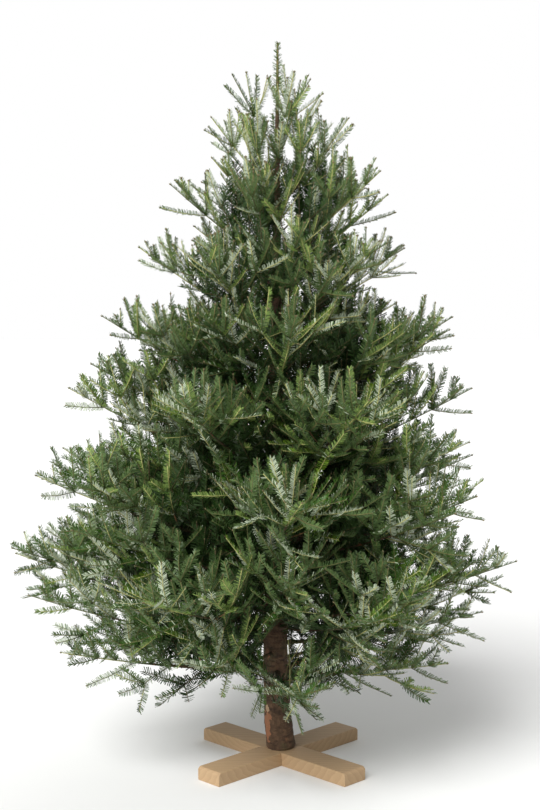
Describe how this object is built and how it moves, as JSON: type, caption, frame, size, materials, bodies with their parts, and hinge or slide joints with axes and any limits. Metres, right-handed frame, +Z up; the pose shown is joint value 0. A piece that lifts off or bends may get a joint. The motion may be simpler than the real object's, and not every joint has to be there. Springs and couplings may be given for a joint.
{
  "type": "christmas tree",
  "caption": "Cut fir Christmas tree, undecorated, with dense tiers of upswept boughs around a straight trunk, on a plain timber cross stand.",
  "frame": {"origin": "on the floor under the middle of the cross stand, on the axis of the trunk's foot", "axes": "+Z up along the trunk, -Y the front that is seen first, +X to the right of that view"},
  "size_m": [1.4751, 1.4245, 2.1403],
  "materials": {
    "needles": "fir needles, satin green above and silvery beneath, on yellow-green twigs",
    "bark": "rough grey-brown bark with lenticels and small cracks",
    "stand_timber": "plain sawn softwood, unvarnished"
  },
  "bodies": {
    "root": {"stand_plank_lower": "stand_timber", "stand_plank_upper": "stand_timber", "trunk": "bark", "bough_1a": "bark", "foliage_1a": "needles", "bough_1b": "bark", "foliage_1b": "needles", "bough_1c": "bark", "foliage_1c": "needles", "bough_1d": "bark", "foliage_1d": "needles", "bough_1e": "bark", "foliage_1e": "needles", "bough_2a": "bark", "foliage_2a": "needles", "bough_2b": "bark", "foliage_2b": "needles", "bough_2c": "bark", "foliage_2c": "needles", "bough_2d": "bark", "foliage_2d": "needles", "bough_2e": "bark", "foliage_2e": "needles", "bough_2f": "bark", "foliage_2f": "needles", "foliage_3a": "needles", "foliage_3b": "needles", "foliage_3c": "needles", "foliage_3d": "needles", "foliage_3e": "needles", "foliage_3f": "needles", "foliage_4a": "needles", "foliage_4b": "needles", "foliage_4c": "needles", "foliage_4d": "needles", "foliage_4e": "needles", "foliage_4f": "needles", "foliage_5a": "needles", "foliage_5b": "needles", "foliage_5c": "needles", "foliage_5d": "needles", "foliage_5e": "needles", "foliage_6a": "needles", "foliage_6b": "needles", "foliage_6c": "needles", "foliage_6d": "needles", "foliage_6e": "needles", "foliage_7a": "needles", "foliage_7b": "needles", "foliage_7c": "needles", "foliage_7d": "needles", "foliage_7e": "needles", "foliage_8a": "needles", "foliage_8b": "needles", "foliage_8c": "needles", "foliage_8d": "needles", "foliage_9a": "needles", "foliage_9b": "needles", "foliage_9c": "needles", "foliage_leader": "needles"}
  },
  "joints": []
}
